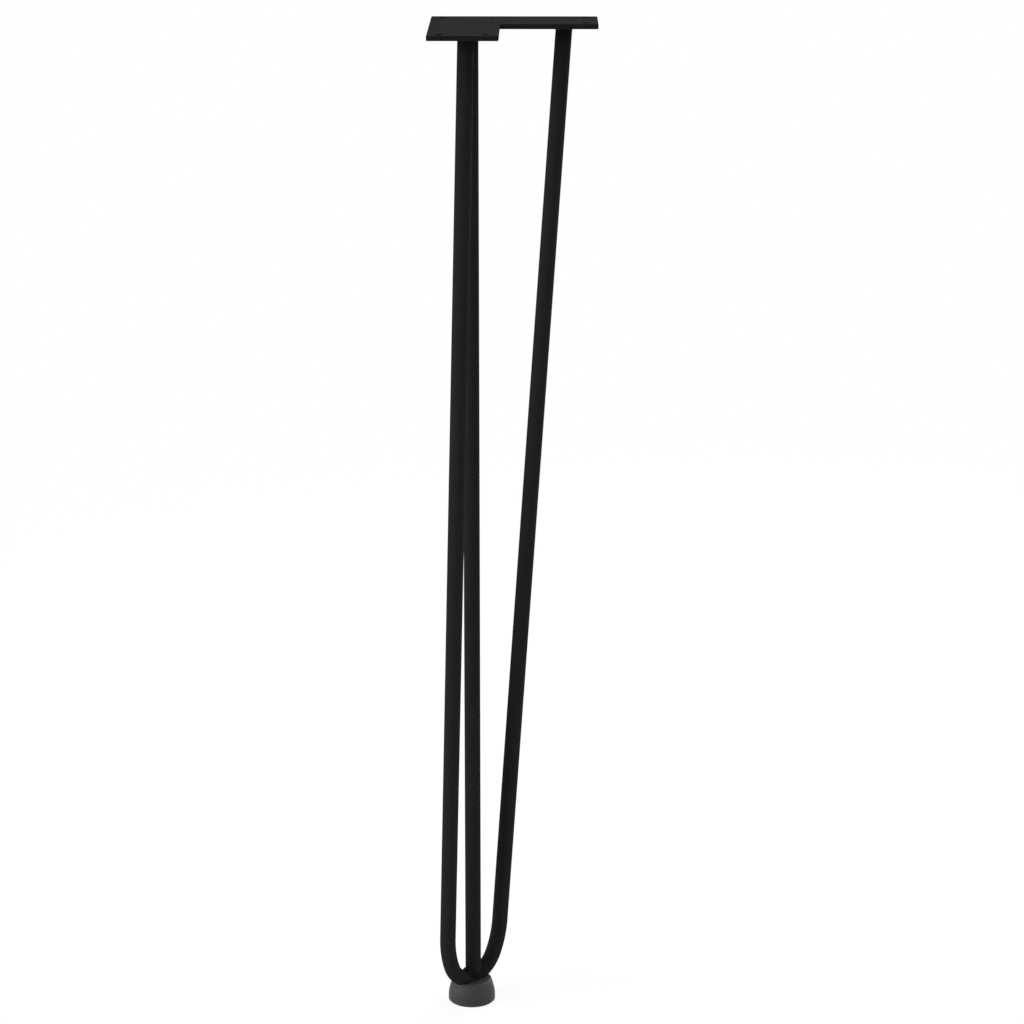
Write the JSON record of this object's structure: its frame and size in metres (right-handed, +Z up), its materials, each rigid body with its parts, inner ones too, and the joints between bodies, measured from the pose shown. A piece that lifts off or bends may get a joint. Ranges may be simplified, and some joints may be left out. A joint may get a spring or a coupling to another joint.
{
  "type": "hairpin table leg",
  "caption": "Hairpin table leg: a bent bar and a straight bar welded under an L-shaped screw plate, with a round foot under the bend.",
  "frame": {"origin": "corner rod's axis at the plate's mounting face, which lies against the underside of the tabletop", "axes": "+Z up out of the mounting face, +X along the plate's right arm, -Y along the plate's front arm; the leg is mirror-symmetric about the upright plane through the plate's diagonal"},
  "size_m": [0.12, 0.12, 0.756],
  "materials": {
    "plate_coat": "fine-grained satin black powder coat",
    "rod_coat": "satin black powder coat over bar and weld metal",
    "foot_plastic": "matt dark grey moulded plastic"
  },
  "bodies": {
    "root": {"mounting_plate": "plate_coat", "hairpin_rod": "rod_coat", "corner_rod": "rod_coat", "foot": "foot_plastic"}
  },
  "joints": []
}
